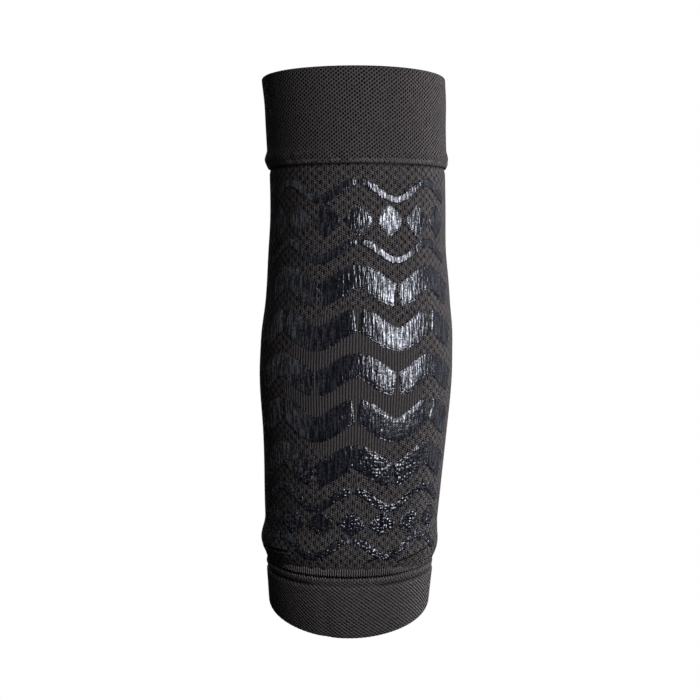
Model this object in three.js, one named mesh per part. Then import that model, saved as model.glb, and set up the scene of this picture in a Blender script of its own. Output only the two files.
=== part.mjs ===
// Elbow support: a knitted compression sleeve in its worn form, a little bent at the elbow.
// Two folded cuffs are sewn to the ends of a knitted tube, and a raised silicone grip is printed on the
// tube over the back of the elbow. Millimetres, +Z up the arm. The origin is on the middle of the arm at
// the elbow, and -Y is the side of the elbow's point, which carries the grip.
import * as THREE from "three";

// Driving dimensions
const KNIT_WALL = 1.8; // knitted tube
const CUFF_WALL = 2.6; // cuff, two layers of elastic knit
const HEM_STRIP = 1.9; // the single layer above the lower cuff's turned-up hem
const RIM_ROUND = 0.85; // rounding of a folded rim
const ROLL_RISE = 1.2; // how far the sewn roll under the upper cuff stands out
const ROLL_EDGE = 0.5; // thickness left at the roll's lower edge
const FOLD_RISE = 1.6; // how far the tube puffs out above the lower cuff
const SEAM_GAP = 0.3; // clearance between pieces that touch
const GRIP_THICKNESS = 0.8;
const GRIP_DRAFT = 0.35; // how much narrower each side of a grip pad is at its top

// Stations are distances along the arm from the elbow, up the arm.
const TOP_RIM = 139.6;
const ROLL_TOP = 105.5; // the roll's upper end
const ROLL_CREST = 100.6;
const TUBE_TOP = 99.6;
const ROLL_BOTTOM = 96.2; // the roll's lower edge, which overlaps the tube
const FOLD_CREST = -80.5;
const TUBE_BOTTOM = -91;
const HEM_EDGE = -94.8; // upper edge of the lower cuff's turned-up hem
const BOTTOM_RIM = -113;

// The facets of the walls
const AROUND = 48;
const TUBE_STEP = 8;
const FOLD_STEPS = 8;

// The arm inside the sleeve, from the upper arm to the forearm. halfWidth is across the arm and shift is
// sideways, front and back are its depths, and lean is the slope of its middle line in degrees.
const SECTIONS = [
  { station: 140, halfWidth: 41.4, shift: -1.5, front: 43.0, back: 45.0, lean: 2 },
  { station: 100, halfWidth: 40.2, shift: 0.4, front: 42.5, back: 44.0, lean: -0.5 },
  { station: 65, halfWidth: 40.5, shift: 1.0, front: 42.0, back: 42.5, lean: -0.5 },
  { station: 35, halfWidth: 42.2, shift: 0.7, front: 41.5, back: 40.5, lean: -1 },
  { station: 2, halfWidth: 44.4, shift: 0.0, front: 41.0, back: 38.5, lean: -2.5 },
  { station: -30, halfWidth: 42.2, shift: -0.5, front: 40.0, back: 37.5, lean: -6 },
  { station: -65, halfWidth: 40.1, shift: -2.3, front: 38.0, back: 37.0, lean: -9 },
  { station: -92, halfWidth: 37.7, shift: -3.2, front: 36.5, back: 36.0, lean: -10.5 },
  { station: -114, halfWidth: 36.0, shift: -3.5, front: 35.0, back: 35.0, lean: -26 },
];

// One column of the sections at a station: a cubic through the rows, whose slope at a row is that of the
// line between its neighbours.
function along(column, station) {
  const last = SECTIONS.length - 1;
  const slope = (row) => {
    const above = SECTIONS[Math.max(row - 1, 0)];
    const below = SECTIONS[Math.min(row + 1, last)];
    return (below[column] - above[column]) / (below.station - above.station);
  };
  const found = SECTIONS.findIndex((section) => section.station <= station);
  const lower = found < 0 ? last : Math.max(found, 1);
  const from = SECTIONS[lower - 1];
  const to = SECTIONS[lower];
  const span = to.station - from.station;
  const t = (station - from.station) / span;
  return (
    from[column] * (1 + 2 * t) * (1 - t) ** 2 +
    to[column] * t * t * (3 - 2 * t) +
    span * slope(lower - 1) * t * (1 - t) ** 2 +
    span * slope(lower) * t * t * (t - 1)
  );
}

const leanAt = (station) => THREE.MathUtils.degToRad(along("lean", station));

// The middle of the arm at a station, by summing the lean from the elbow in short steps.
function middle(station) {
  const steps = 60;
  const step = station / steps;
  const point = new THREE.Vector3();
  for (let i = 0; i < steps; i++) {
    const lean = leanAt((i + 0.5) * step);
    point.y += Math.sin(lean) * step;
    point.z += Math.cos(lean) * step;
  }
  return point;
}

// A point that stands off the arm by an offset. Angle 0 is the elbow's point, and it turns towards +X.
function onArm(station, angle, offset) {
  const halfWidth = along("halfWidth", station);
  const depth = along(Math.cos(angle) > 0 ? "front" : "back", station);
  const lean = leanAt(station);
  const outward = new THREE.Vector2(Math.sin(angle) / halfWidth, Math.cos(angle) / depth).normalize();
  const across = halfWidth * Math.sin(angle) + outward.x * offset;
  const forward = depth * Math.cos(angle) + outward.y * offset;
  return middle(station).add(
    new THREE.Vector3(
      along("shift", station) + across,
      -forward * Math.cos(lean),
      forward * Math.sin(lean),
    ),
  );
}

// A closed solid through rings of points. An open loft is capped at both ends, and a looped one joins its
// last ring to its first.
function loft(rings, looped) {
  const size = rings[0].length;
  const triangles = [];
  const joins = looped ? rings.length : rings.length - 1;
  for (let r = 0; r < joins; r++) {
    const here = r * size;
    const next = ((r + 1) % rings.length) * size;
    for (let i = 0; i < size; i++) {
      const j = (i + 1) % size;
      triangles.push(here + i, next + i, next + j, here + i, next + j, here + j);
    }
  }
  if (!looped) {
    const end = (rings.length - 1) * size;
    for (let i = 1; i < size - 1; i++) {
      triangles.push(0, i, i + 1, end, end + i + 1, end + i);
    }
  }
  return new THREE.BufferGeometry().setFromPoints(rings.flat()).setIndex(triangles);
}

// A wall round the arm, from rows that give where its faces stand off the arm at a station. A row without
// an inner or outer value has no corner on that face.
function wall(rows) {
  const outer = rows.filter((row) => row.outer !== undefined);
  const inner = rows.filter((row) => row.inner !== undefined).reverse();
  const corners = [
    ...outer.map((row) => [row.station, row.outer]),
    ...inner.map((row) => [row.station, row.inner]),
  ];
  const rings = corners.map(([station, offset]) =>
    Array.from({ length: AROUND }, (_, i) => onArm(station, (2 * Math.PI * i) / AROUND, offset)),
  );
  return loft(rings, true);
}

// The upper cuff: folded over at the rim, with a sewn roll that overlaps the tube's upper edge.
function upperCuff() {
  const overTube = KNIT_WALL + SEAM_GAP;
  const belowRim = TOP_RIM - RIM_ROUND;
  return wall([
    { station: TOP_RIM, outer: CUFF_WALL - RIM_ROUND, inner: RIM_ROUND },
    { station: belowRim, outer: CUFF_WALL, inner: 0 },
    { station: (2 * belowRim + ROLL_TOP) / 3, outer: CUFF_WALL },
    { station: (belowRim + ROLL_TOP) / 2, inner: 0 },
    { station: (belowRim + 2 * ROLL_TOP) / 3, outer: CUFF_WALL },
    { station: ROLL_TOP, outer: CUFF_WALL },
    { station: (ROLL_TOP + ROLL_CREST) / 2, outer: CUFF_WALL + 0.6 * ROLL_RISE },
    { station: ROLL_CREST, outer: CUFF_WALL + ROLL_RISE },
    { station: TUBE_TOP + SEAM_GAP, inner: 0 },
    { station: TUBE_TOP + SEAM_GAP, inner: overTube },
    { station: (ROLL_CREST + 2 * ROLL_BOTTOM) / 3, outer: CUFF_WALL + 0.7 * ROLL_RISE },
    { station: ROLL_BOTTOM, outer: overTube + ROLL_EDGE, inner: overTube },
  ]);
}

// The tube's outer face, with a soft fold of spare knit above the lower cuff.
const FOLD_REACH = FOLD_CREST - TUBE_BOTTOM;
function tubeFace(station) {
  const share = Math.min(Math.abs(station - FOLD_CREST) / FOLD_REACH, 1);
  return KNIT_WALL + FOLD_RISE * Math.cos((Math.PI / 2) * share) ** 2;
}

function knittedTube() {
  const foldTop = FOLD_CREST + FOLD_REACH;
  const steps = 2 * Math.round((TUBE_TOP - foldTop) / TUBE_STEP / 2);
  const rows = [];
  for (let i = 0; i <= steps; i++) {
    const station = TUBE_TOP + (foldTop - TUBE_TOP) * (i / steps);
    const row = { station, outer: tubeFace(station) };
    rows.push(i % 2 ? row : { ...row, inner: 0 });
  }
  for (let i = 1; i <= FOLD_STEPS; i++) {
    const station = foldTop - 2 * FOLD_REACH * (i / FOLD_STEPS);
    rows.push({ station, outer: tubeFace(station) });
  }
  rows.push({ station: FOLD_CREST, inner: 0 }, { station: TUBE_BOTTOM, inner: 0 });
  return wall(rows);
}

// The lower cuff: one layer at the seam, then a turned-up hem of two layers.
function lowerCuff() {
  const aboveRim = BOTTOM_RIM + RIM_ROUND;
  return wall([
    { station: TUBE_BOTTOM - SEAM_GAP, outer: HEM_STRIP, inner: 0 },
    { station: HEM_EDGE + SEAM_GAP, outer: HEM_STRIP },
    { station: HEM_EDGE, outer: CUFF_WALL, inner: 0 },
    { station: (2 * HEM_EDGE + aboveRim) / 3, outer: CUFF_WALL },
    { station: (HEM_EDGE + aboveRim) / 2, inner: 0 },
    { station: (HEM_EDGE + 2 * aboveRim) / 3, outer: CUFF_WALL },
    { station: aboveRim, outer: CUFF_WALL, inner: 0 },
    { station: BOTTOM_RIM, outer: CUFF_WALL - RIM_ROUND, inner: RIM_ROUND },
  ]);
}

// The grip is drawn flat, as distances across the arm from the elbow's point and stations along it.
const GRIP_RADIUS = 44; // distance across over turn round the arm
const GRIP_REACH = 54; // half the width of the printed field
const GRIP_STEP = 3.4; // length of a facet across
const WAVE_LENGTH = 38;
const WAVE_HEIGHT = 4.2; // from the middle of a wave to its crest
const WAVE_BAND = 5.4; // half height of a broad wave
const WAVE_LINE = 1.9; // half height of a thin wave
const CUT = 2.4; // gap between two pads of one wave
const LOZENGE_COUNT = 7;
const LOZENGE_PITCH = 15.6;
const LOZENGE_WIDTH = 13.2;
const LOZENGE_END = 1.4; // half height left at a lozenge's blunt ends
const LOZENGE_STEPS = 6;

// Waves from the top down. breaks are the places where a wave is cut into pads.
const WAVES = [
  { name: "grip_line_1", station: 84, halfHeight: WAVE_LINE, breaks: [0] },
  { name: "grip_line_2", station: 56, halfHeight: WAVE_LINE, breaks: [0] },
  { name: "grip_wave_1", station: 40, halfHeight: WAVE_BAND, breaks: [-19, 19] },
  { name: "grip_wave_2", station: 20, halfHeight: WAVE_BAND, breaks: [-38, 0, 38] },
  { name: "grip_wave_3", station: 0, halfHeight: WAVE_BAND, breaks: [-19, 19] },
  { name: "grip_wave_4", station: -20, halfHeight: WAVE_BAND, breaks: [-38, 0, 38] },
  { name: "grip_wave_5", station: -40, halfHeight: WAVE_BAND, breaks: [-19, 19] },
  { name: "grip_line_3", station: -55, halfHeight: WAVE_LINE, breaks: [0] },
  { name: "grip_line_4", station: -78, halfHeight: WAVE_LINE, breaks: [0] },
];
const LOZENGE_ROWS = [
  { name: "grip_lozenge_a", station: 70, halfHeight: 8 },
  { name: "grip_lozenge_b", station: -66.5, halfHeight: 6 },
];

// The wave's middle line, symmetrical about the elbow's point, with a crest there.
const WAVE_TURN = (2 * Math.PI) / WAVE_LENGTH;
const waveRise = (across) => WAVE_HEIGHT * Math.cos(WAVE_TURN * across);
const waveSlope = (across) => -WAVE_HEIGHT * WAVE_TURN * Math.sin(WAVE_TURN * across);

// A raised pad that lies on the tube. Each step gives the middle of the pad and its half height, and the
// pad is drawn square to its own slope.
function gripPad(steps) {
  const rings = steps.map(({ across, station, slope, halfHeight }) => {
    const length = Math.hypot(1, slope);
    const corner = (half, lift) => {
      const place = station + half / length;
      const angle = (across - (half * slope) / length) / GRIP_RADIUS;
      return onArm(place, angle, tubeFace(place) + SEAM_GAP + lift);
    };
    const top = halfHeight - GRIP_DRAFT;
    return [
      corner(-halfHeight, 0),
      corner(-top, GRIP_THICKNESS),
      corner(top, GRIP_THICKNESS),
      corner(halfHeight, 0),
    ];
  });
  return loft(rings, false);
}

function wavePad(wave, from, to) {
  const count = Math.ceil((to - from) / GRIP_STEP);
  const steps = Array.from({ length: count + 1 }, (_, i) => {
    const across = from + ((to - from) * i) / count;
    return {
      across,
      station: wave.station + waveRise(across),
      slope: waveSlope(across),
      halfHeight: wave.halfHeight,
    };
  });
  return gripPad(steps);
}

function lozengePad(row, centre) {
  const steps = Array.from({ length: LOZENGE_STEPS + 1 }, (_, i) => {
    const share = (2 * i) / LOZENGE_STEPS - 1;
    return {
      across: centre + (share * LOZENGE_WIDTH) / 2,
      station: row.station,
      slope: 0,
      halfHeight: LOZENGE_END + (row.halfHeight - LOZENGE_END) * (1 - Math.abs(share)),
    };
  });
  return gripPad(steps);
}

// The pieces and their materials
const support = new THREE.Group();

function place(name, geometry, finish) {
  const mesh = new THREE.Mesh(geometry, new THREE.MeshStandardMaterial(finish));
  mesh.name = name;
  support.add(mesh);
}

const KNIT = { color: "#2f2c2d", roughness: 0.9, metalness: 0 };
const CUFF_KNIT = { color: "#353232", roughness: 0.9, metalness: 0 };
const SILICONE = { color: "#15151d", roughness: 0.25, metalness: 0 };

place("upper_cuff", upperCuff(), CUFF_KNIT);
place("sleeve_tube", knittedTube(), KNIT);
place("lower_cuff", lowerCuff(), CUFF_KNIT);

for (const wave of WAVES) {
  const edges = [-GRIP_REACH, ...wave.breaks, GRIP_REACH];
  const last = edges.length - 2;
  for (let i = 0; i <= last; i++) {
    const from = edges[i] + (i > 0 ? CUT / 2 : 0);
    const to = edges[i + 1] - (i < last ? CUT / 2 : 0);
    place(`${wave.name}_${i + 1}`, wavePad(wave, from, to), SILICONE);
  }
}
for (const row of LOZENGE_ROWS) {
  for (let i = 0; i < LOZENGE_COUNT; i++) {
    const centre = (i - (LOZENGE_COUNT - 1) / 2) * LOZENGE_PITCH;
    place(`${row.name}_${i + 1}`, lozengePad(row, centre), SILICONE);
  }
}

export default support;
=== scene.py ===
"""Elbow support: a knitted compression sleeve with a silicone grip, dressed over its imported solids.

The knit, the cuffs, the sewing and the grip are drawn on the same arm form as the solids, in metres.
"""

import math

import bpy
import numpy as np
from bpy.props import FloatProperty, IntProperty, PointerProperty, StringProperty
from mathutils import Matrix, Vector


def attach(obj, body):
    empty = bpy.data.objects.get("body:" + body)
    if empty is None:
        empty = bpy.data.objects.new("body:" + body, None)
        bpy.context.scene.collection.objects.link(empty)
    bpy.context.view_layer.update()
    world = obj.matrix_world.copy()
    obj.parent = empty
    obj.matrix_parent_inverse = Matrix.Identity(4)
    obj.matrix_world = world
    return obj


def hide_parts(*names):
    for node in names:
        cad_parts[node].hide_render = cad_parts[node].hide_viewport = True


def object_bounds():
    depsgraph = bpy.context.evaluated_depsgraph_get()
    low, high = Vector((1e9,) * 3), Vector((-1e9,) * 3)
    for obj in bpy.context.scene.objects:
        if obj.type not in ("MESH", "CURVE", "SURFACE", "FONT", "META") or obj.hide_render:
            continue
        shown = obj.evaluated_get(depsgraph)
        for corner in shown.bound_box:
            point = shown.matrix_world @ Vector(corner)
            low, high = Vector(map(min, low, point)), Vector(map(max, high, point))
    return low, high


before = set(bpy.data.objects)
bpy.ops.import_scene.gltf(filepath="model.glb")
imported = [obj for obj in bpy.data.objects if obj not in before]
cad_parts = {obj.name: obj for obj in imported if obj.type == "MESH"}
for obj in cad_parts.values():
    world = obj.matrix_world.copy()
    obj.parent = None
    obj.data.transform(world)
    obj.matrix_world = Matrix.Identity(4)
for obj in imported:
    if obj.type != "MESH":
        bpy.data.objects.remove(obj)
CAD_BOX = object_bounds()

bl_info = {
    "name": "Elbow support",
    "version": (1, 0, 0),
    "blender": (4, 5, 0),
    "location": "View3D > Sidebar > Elbow support",
    "description": "Builds a knitted elbow support with folded cuffs and a silicone grip",
    "category": "Object",
}

MM = 0.001
TURN = 2 * math.pi

# The arm inside the sleeve, as in the solids, in millimetres and degrees. station is the distance along
# the arm from the elbow, and lean is the slope of its middle line.
ARM_COLUMNS = ("station", "half_width", "shift", "front", "back", "lean")
ARM_SECTIONS = np.array([
    (-114, 36.0, -3.5, 35.0, 35.0, -26.0),
    (-92, 37.7, -3.2, 36.5, 36.0, -10.5),
    (-65, 40.1, -2.3, 38.0, 37.0, -9.0),
    (-30, 42.2, -0.5, 40.0, 37.5, -6.0),
    (2, 44.4, 0.0, 41.0, 38.5, -2.5),
    (35, 42.2, 0.7, 41.5, 40.5, -1.0),
    (65, 40.5, 1.0, 42.0, 42.5, -0.5),
    (100, 40.2, 0.4, 42.5, 44.0, -0.5),
    (140, 41.4, -1.5, 43.0, 45.0, 2.0),
])

# Stations of the sleeve's joints and rims, as in the solids
TOP_RIM = 139.6
ROLL_TOP = 105.5
ROLL_CREST = 100.6
TUBE_TOP = 99.6
ROLL_BOTTOM = 96.2
FOLD_CREST = -80.5
TUBE_BOTTOM = -91.0
HEM_EDGE = -94.8
BOTTOM_RIM = -113.0
SEAM_GAP = 0.3

# The panel of plain ribs over the elbow's point: its centre and its reach, each across and along the arm,
# and the shares of that reach between which the ribs give way to tuck knit
PANEL_CENTRE = (-2.5, -4.0)
PANEL_REACH = (34.0, 33.0)
PANEL_EDGE = (0.93, 1.06)
# Angles from the elbow's point, in degrees, within which the tube's columns are finest, and finer
FINEST_WITHIN = 50
FINER_WITHIN = 100

# The grip's layout, as in the solids: distances across the arm from the elbow's point
GRIP_RADIUS = 44.0
GRIP_REACH = 54.0
GRIP_CUT = 2.4
WAVE_LENGTH = 38.0
WAVE_HEIGHT = 4.2
LOZENGE_COUNT = 7
LOZENGE_PITCH = 15.6
LOZENGE_WIDTH = 13.2
LOZENGE_END = 1.4
# Each row: name, station, half height, places where the wave is cut
WAVES = (
    ("grip_wave_1", 40, 5.4, (-19, 19)),
    ("grip_wave_2", 20, 5.4, (-38, 0, 38)),
    ("grip_wave_3", 0, 5.4, (-19, 19)),
    ("grip_wave_4", -20, 5.4, (-38, 0, 38)),
    ("grip_wave_5", -40, 5.4, (-19, 19)),
)
LINES = (
    ("grip_line_1", 84, 1.9, (0,)),
    ("grip_line_2", 56, 1.9, (0,)),
    ("grip_line_3", -55, 1.9, (0,)),
    ("grip_line_4", -78, 1.9, (0,)),
)
# Each row: name, station, half height
LOZENGES = (
    ("grip_lozenge_a", 70, 8.0),
    ("grip_lozenge_b", -66.5, 6.0),
)
# The pads' form: the length of their rounded ends, the steps of their grid across the arm and along it, how
# far they start above the knit and their edges are sunk, and the stations where streaks give way to beads
PAD_END = 1.2
PAD_COLUMN = 0.32
PAD_ROW = 0.27
PAD_LIFT = 0.05
PAD_SINK = 0.3
PAD_BEADS = (-30, -62)

# Slow dents of the worn cloth: bell curves along the arm, whose right is +X. Each row: centre, width, height
LEAN_TO_RIGHT = ((128, 9, 0.4), (57, 13, -0.6))
WIDE_AT_SIDES = ((20, 9, 0.45),)
PUFF_ON_LEFT = ((FOLD_CREST - 1.5, 7, 1.0),)
HANG_ON_RIGHT = ((-86.5, 4, 0.8), (-77.5, 3.5, -0.4))
RIPPLE_HEIGHT = 0.12
# Angles at which the fold hangs over the lower seam. Each row: where it begins, is full, fades and has gone
OVERHANGS = (
    (28, 48, 100, 120),
    (-46, -60, -90, -105),
)

# Stations between which the tube is creased
CREASED = (-74.0, -87.5)
# Creases in the spare knit above the lower cuff. Each row: angle and station of one end and of the other
CREASES = (
    (7, -85.6, 37, -78.0),
    (29, -86.2, 68, -80.6),
    (46, -77.4, 70, -75.2),
    (-84, -83.2, -40, -81.6),
)
# Shares of the length of each of the creases: where it begins, is full, fades and has gone
CREASE_ENDS = (-0.05, 0.25, 0.75, 1.05)
# The creases' lips and the dip between them. Each row: width, height
CREASE_FORM = (
    (1.9, 0.55),
    (0.6, -1.2),
)
CREASE_SHADE_WIDTH = 0.7

# Distances from the joints where a pinch or a shade begins, and where it is full: on the tube below the
# roll's lower edge, on the roll above it, and on either side of the lower seam
PINCH_BELOW_ROLL = (2.8, 0.4)
SHADE_BELOW_ROLL = (0.9, 0.2)
SHADE_ON_ROLL = (0.8, 0.1)
SHADE_ABOVE_SEAM = (4.4, 3.0)
SHADE_BELOW_SEAM = (0.9, 0.3)
# How deep the tube is pinched in below the roll
PINCH_DEPTH = 0.5

# The upper cuff: the thickness that its roll tapers to, how much less the roll stands out on the +X side,
# the depth of the mesh's dots, and the distances below the rim's fold between which they set in
ROLL_EDGE = 0.2
ROLL_SIDE_DROP = 0.5
DOT_DEPTH = 0.16
DOTS_START = (-0.4, 1.2)

# How much longer the lower cuff is in front than along the arm's middle line, because the arm bends there
CUFF_BEND = 0.48
# The lower cuff's hem: angles where its edge begins to lie flat, is flat, lifts and is loose, and the width
# and depth of the groove along the loose edge
HEM_FLAT = (-32, -24, 14, 24)
GROOVE_WIDTH = 0.55
GROOVE_DEPTH = 0.6
STRIP_BULGE = 0.3
RIDGE_HEIGHT = 0.1
# The dent down the lower cuff: its angle, its width in degrees, and its depth
DENT_ANGLE = -16
DENT_WIDTH = 4
DENT_DEPTH = 0.35
# Distances below the hem's edge between which the wall thickens, the slanted ridges and the dent set in, and
# the shade of the strip above fades in
HEM_STEP = (-0.3, 1.5)
RIDGES_START = (0, 0.6)
DENT_START = (0, 6)
STRIP_SHADE = (0.5, -0.3)

# How far the whip stitches lie above the roll's lower edge, and the chain below the tube's end
WHIP_ABOVE = 1.6
CHAIN_BELOW = 1.3

# Millimetres of the tube to a unit of its stitch map, and the real sizes of what is uneven there: how the
# yarn wanders and frays, and the silicone's grain, beads and streaks. The cuffs' stitches are finer, with 0.3
# to 0.6 mm to a unit, and so is their yarn. The fray is drawn coarser than fibres are, so that it shows
STITCH_UNIT = 0.714
YARN_WANDER = 2.38
YARN_FRAY = 0.8925
SILICONE_GRAIN = 1.19
BEAD_SIZE = 1.7
STREAK_WIDTH = 0.7846
STREAK_LENGTH = 8.5

# The studio, in metres and degrees, with the camera looking along +Y at its aim's x and z
FLOOR_SIZE = 8
FLOOR_DROP = 0.08
BACKDROP_RADIUS = 12
ROOM_STRENGTH = 0.02
CAMERA_DISTANCE = 1.2
CAMERA_AIM = (-2.95 * MM, 9.6 * MM)
CAMERA_SENSOR = 36
CAMERA_REACH = 40
FRAME_WIDTH = 336 * MM
LIGHT_DISTANCE = 1.1
# Each row: name, azimuth and elevation, width and height, watts, whether matt surfaces and whether glossy
# ones see it
SOFTBOXES = (
    ("key softbox", (32, 13), (0.7, 0.56), 25.0, True, False),
    ("rim softbox", (122, 10), (0.5, 0.8), 55.0, True, False),
    ("gloss strip", (46, 4), (0.72, 0.6), 29.0, False, True),
    ("fill card", (-50, 36), (1.2, 1.2), 1.3, True, True),
    ("sheen card", (-78, 5), (1.05, 1.2), 1.8, False, True),
    ("edge card", (116, 5), (1.0, 1.2), 1.8, False, True),
    ("back softbox", (-166, 18), (0.6, 0.8), 26.0, True, False),
)


# Sizes and colours


class ElbowSupportSizes(bpy.types.PropertyGroup):
    """The sizes of the knit, the cuffs, the sewing and the grip"""

    knit_wall: FloatProperty(
        name="Knit wall", description="Thickness of the knitted tube", default=1.8 * MM, unit="LENGTH",
    )
    cuff_wall: FloatProperty(
        name="Cuff wall", description="Thickness of a cuff's two layers", default=2.6 * MM, unit="LENGTH",
    )
    hem_strip: FloatProperty(
        name="Hem strip", description="Thickness of the lower cuff at its sewn edge", default=1.9 * MM,
        unit="LENGTH",
    )
    roll_rise: FloatProperty(
        name="Roll rise", description="How far the sewn roll of the upper cuff stands out", default=1.2 * MM,
        unit="LENGTH",
    )
    fold_rise: FloatProperty(
        name="Fold rise", description="How far the tube puffs out above the lower cuff", default=1.6 * MM,
        unit="LENGTH",
    )
    pique_cells: IntProperty(
        name="Tuck cells", description="Tuck holes in one course round the tube", default=58, min=20,
    )
    pique_course: FloatProperty(
        name="Tuck course", description="Distance from one row of tuck holes to the next", default=2.0 * MM,
        unit="LENGTH",
    )
    pique_depth: FloatProperty(
        name="Tuck depth", description="Depth of a tuck hole", default=0.3 * MM, unit="LENGTH",
    )
    rib_count: IntProperty(
        name="Elbow ribs", description="Ribs round the tube at the elbow panel", default=200, min=40,
    )
    rib_depth: FloatProperty(
        name="Rib depth", description="Half the height of the elbow panel's ribs", default=0.18 * MM,
        unit="LENGTH",
    )
    mesh_cells: IntProperty(
        name="Cuff mesh cells", description="Dots in one course round the upper cuff", default=116, min=40,
    )
    mesh_course: FloatProperty(
        name="Cuff mesh course", description="Distance from one row of the cuff's dots to the next",
        default=0.89 * MM, unit="LENGTH",
    )
    twill_lines: IntProperty(
        name="Twill lines", description="Slanted lines round the lower cuff", default=108, min=20,
    )
    twill_course: FloatProperty(
        name="Twill course", description="Distance along the arm from one slanted line to the next",
        default=1.78 * MM, unit="LENGTH",
    )
    grip_thickness: FloatProperty(
        name="Grip thickness", description="How far the silicone stands above the knit", default=0.32 * MM,
        unit="LENGTH",
    )
    gather_count: IntProperty(
        name="Gathered ribs", description="Gathered ribs round the lower seam", default=224, min=40,
    )
    chain_count: IntProperty(
        name="Chain stitches", description="Thread loops round the lower cuff's sewn edge", default=180,
        min=40,
    )
    whip_count: IntProperty(
        name="Whip stitches", description="Slanted stitches round the upper cuff's roll", default=208, min=40,
    )


class ElbowSupportColours(bpy.types.PropertyGroup):
    """The colours of the yarn, the silicone and the studio, as sRGB hex"""

    yarn: StringProperty(name="Yarn", description="Lit polyamide yarn of the tube", default="#3c3839")
    mesh_yarn: StringProperty(name="Upper cuff yarn", description="Elastic mesh yarn", default="#383435")
    twill_yarn: StringProperty(name="Lower cuff yarn", description="Elastic twill yarn", default="#3d393a")
    pit: StringProperty(name="Pit", description="Shaded holes between the yarns", default="#060606")
    silicone: StringProperty(name="Silicone", description="Blue-black silicone", default="#0a0a0e")
    # Painted sheen: lighter specks where the tiny bumps would catch the light
    painted_sheen_silicone: StringProperty(name="Dull silicone", description="Its worn specks", default="#1d1d23")
    gleam: StringProperty(name="Gleam", description="Tint of the silicone's highlights", default="#f5f6ff")
    thread: StringProperty(name="Thread", description="Sewing thread", default="#454041")
    paper: StringProperty(name="Paper", description="Pale floor and backdrop", default="#ffffff")
    room: StringProperty(name="Room", description="Dim light from all round", default="#f4f9ff")
    lamp: StringProperty(name="Lamp", description="Daylight of the softboxes", default="#f9fcff")


# The arm form


def along(column, station):
    """A column of the sections at stations: a cubic through the rows, whose slope at a row is that of
    the line between its neighbours."""
    x = ARM_SECTIONS[:, 0]
    y = ARM_SECTIONS[:, ARM_COLUMNS.index(column)]
    below = np.maximum(np.arange(len(x)) - 1, 0)
    above = np.minimum(np.arange(len(x)) + 1, len(x) - 1)
    slope = (y[above] - y[below]) / (x[above] - x[below])
    i = np.clip(np.searchsorted(x, station) - 1, 0, len(x) - 2)
    span = x[i + 1] - x[i]
    t = (station - x[i]) / span
    return (
        y[i] * (1 + 2 * t) * (1 - t) ** 2
        + y[i + 1] * t * t * (3 - 2 * t)
        + span * slope[i] * t * (1 - t) ** 2
        + span * slope[i + 1] * t * t * (t - 1)
    )


# Every quarter of a millimetre along the arm, past both of its rims
MIDDLE_STATIONS = np.linspace(-120, 150, 1081)
MIDDLE_LEAN = np.radians(along("lean", MIDDLE_STATIONS))


def middle(station, part):
    """The middle line's y (part sin) or z (part cos): the sum of that part of the lean from the elbow."""
    value = part(MIDDLE_LEAN)
    steps = np.diff(MIDDLE_STATIONS) * (value[1:] + value[:-1]) / 2
    total = np.concatenate([[0], np.cumsum(steps)])
    return np.interp(station, MIDDLE_STATIONS, total) - np.interp(0, MIDDLE_STATIONS, total)


def on_arm(station, angle, offset):
    """Points that stand off the arm, from arrays in millimetres and radians. Angle 0 is the elbow's
    point and turns towards +X. The section is a half ellipse in front and one behind, pushed out along
    its normal by the offset, and stands square to the leaning middle line."""
    station, angle, offset = np.broadcast_arrays(station, angle, offset)
    half_width = along("half_width", station)
    depth = np.where(np.cos(angle) > 0, along("front", station), along("back", station))
    lean = np.radians(along("lean", station))
    normal_x = np.sin(angle) / half_width
    normal_y = np.cos(angle) / depth
    length = np.hypot(normal_x, normal_y)
    across = half_width * np.sin(angle) + offset * normal_x / length
    forward = depth * np.cos(angle) + offset * normal_y / length
    return MM * np.stack([
        along("shift", station) + across,
        middle(station, np.sin) - forward * np.cos(lean),
        middle(station, np.cos) + forward * np.sin(lean),
    ], axis=-1)


def ease(low, high, value):
    """0 at low, 1 at high, and the cubic 3t^2 - 2t^3 between them."""
    t = np.clip((value - low) / (high - low), 0, 1)
    return t * t * (3 - 2 * t)


def between(begins, full, fades, gone, value):
    """1 from full to fades, easing down to 0 where it begins and where it has gone."""
    return ease(begins, full, value) * ease(gone, fades, value)


def bell(value, centre, width):
    """A bell curve: 1 at the centre, and 1 / e at the width to either side."""
    return np.exp(-(((value - centre) / width) ** 2))


def bells(station, rows):
    """The sum of bell curves along the arm, from rows of centre, width and height."""
    return sum(height * bell(station, centre, width) for centre, width, height in rows)


def even(low, high, step):
    """Values from low to high in equal steps of about the given length."""
    return np.linspace(low, high, max(int(round(abs(high - low) / step)), 1) + 1)


def uneven(x, y):
    """A value between -1 and 1 that wanders with two phases: three sines that never fall into step."""
    return (
        np.sin(x + 1.3 * np.sin(0.7 * y))
        + np.sin(1.618 * x - 2.236 * y + 2)
        + np.sin(0.577 * x + 1.414 * y + 4)
    ) / 3


def crease_lines(station, angle, width):
    """1 on the creases above the lower cuff, falling off as a bell curve beside each straight line of angle
    and station, and fading out at its two ends."""
    total = 0
    for start, low, end, high in CREASES:
        share = (np.degrees(angle) - start) / (end - start)
        line = low + (high - low) * share
        total = total + bell(station, line, width) * between(*CREASE_ENDS, share)
    return np.minimum(total, 1)


def covered(angle):
    """1 at the two places where the fold hangs over the lower seam, and 0 elsewhere."""
    return sum(between(*row, np.degrees(angle)) for row in OVERHANGS)


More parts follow.
